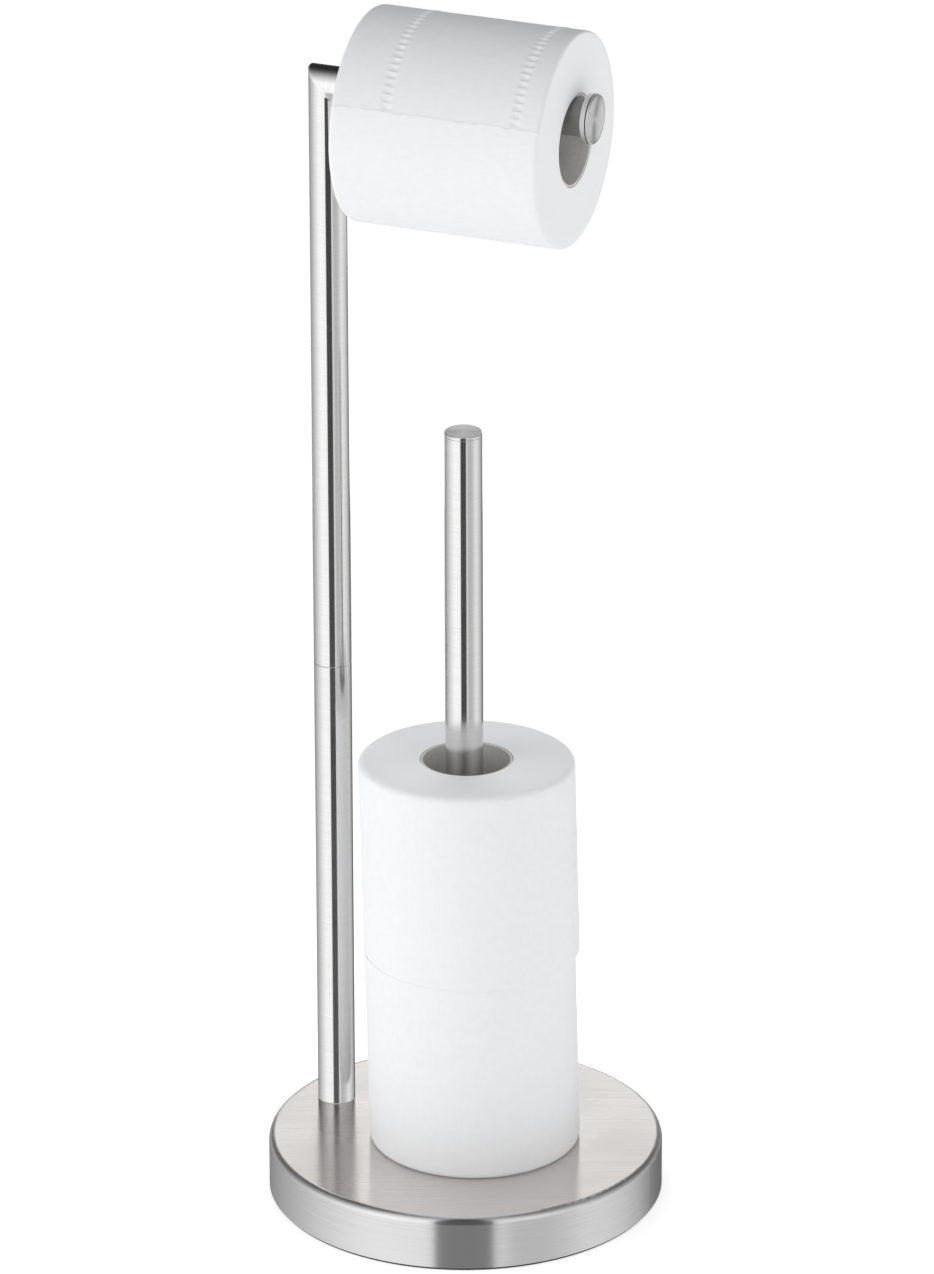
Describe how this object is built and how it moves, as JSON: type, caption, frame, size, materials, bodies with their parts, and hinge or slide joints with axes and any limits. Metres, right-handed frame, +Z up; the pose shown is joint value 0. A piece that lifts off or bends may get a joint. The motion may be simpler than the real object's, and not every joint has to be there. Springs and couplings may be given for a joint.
{
  "type": "free-standing toilet roll holder",
  "caption": "Free-standing toilet roll holder in satin steel: round weighted base, mitred post with a roll arm, and an upright rod that stores spare rolls.",
  "frame": {"origin": "middle of the round base, on the floor", "axes": "+Z up, along the post and the rod; +X along the arm, from the post towards the end knob"},
  "size_m": [0.2, 0.2, 0.6221],
  "materials": {
    "satin_steel": "satin",
    "plated_fixings": "satin",
    "ballast": "matte",
    "foot_pad": "matte",
    "tissue_paper": "matte",
    "core_board": "matte"
  },
  "bodies": {
    "stand": {"base_cover": "satin_steel", "base_weight": "ballast", "base_pad": "foot_pad", "post_lower_tube": "satin_steel", "post_foot_insert": "plated_fixings", "post_lower_top_insert": "plated_fixings", "post_joining_stud": "plated_fixings", "post_upper_bottom_insert": "plated_fixings", "post_upper_tube": "satin_steel", "arm_tube": "satin_steel", "arm_end_insert": "plated_fixings", "arm_end_knob": "satin_steel", "storage_rod_tube": "satin_steel", "storage_rod_foot_insert": "plated_fixings", "storage_rod_top_cap": "satin_steel", "fixing_screws": "plated_fixings", "fixing_washers": "plated_fixings"},
    "hanging_roll": {"hanging_roll_paper": "tissue_paper", "hanging_roll_core": "core_board"},
    "lower_spare_roll": {"lower_spare_roll_paper": "tissue_paper", "lower_spare_roll_core": "core_board"},
    "upper_spare_roll": {"upper_spare_roll_paper": "tissue_paper", "upper_spare_roll_core": "core_board"}
  },
  "joints": [
    {"name": "hanging_roll_turn", "type": "hinge", "parent": "stand", "child": "hanging_roll", "pos_m": [-0.00032, 0.01346, 0.5683], "axis": [1, 0, 0], "continuous": true},
    {"name": "upper_spare_roll_lift", "type": "slide", "parent": "stand", "child": "upper_spare_roll", "axis": [0, 0, 1], "range_m": [0, 0.27]},
    {"name": "lower_spare_roll_turn", "type": "hinge", "parent": "stand", "child": "lower_spare_roll", "pos_m": [0.0038, -0.0013, 0.0816], "axis": [0, 0, 1], "continuous": true}
  ]
}
